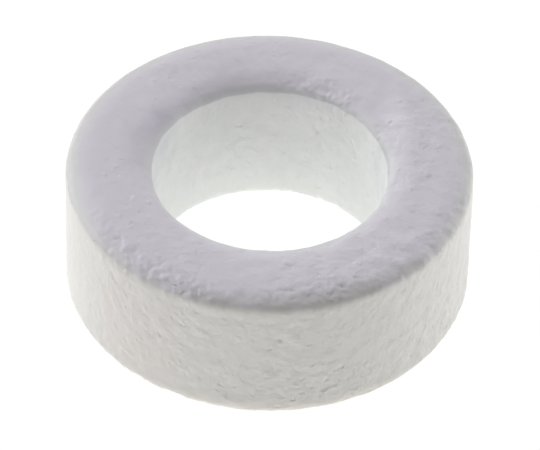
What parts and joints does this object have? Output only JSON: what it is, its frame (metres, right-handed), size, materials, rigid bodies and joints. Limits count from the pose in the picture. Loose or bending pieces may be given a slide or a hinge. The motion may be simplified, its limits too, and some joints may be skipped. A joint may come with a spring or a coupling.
{
  "type": "ferrite toroid core",
  "caption": "Coated ferrite toroid core: a thick ring with flat end faces, softly rounded edges and a round bore that takes the winding.",
  "frame": {"origin": "centre of the ring's lower end face, on the axis of the bore", "axes": "+Z along the axis of the ring, from the lower end face to the upper one; +X and +Y are any two square directions across the ring"},
  "size_m": [0.0146, 0.0146, 0.0056],
  "materials": {
    "core_coating": "matt, finely stippled polymer coating over sintered ferrite, pale lilac-grey on the end faces and warm off-white on the walls"
  },
  "bodies": {
    "root": {"toroid_core": "core_coating"}
  },
  "joints": []
}
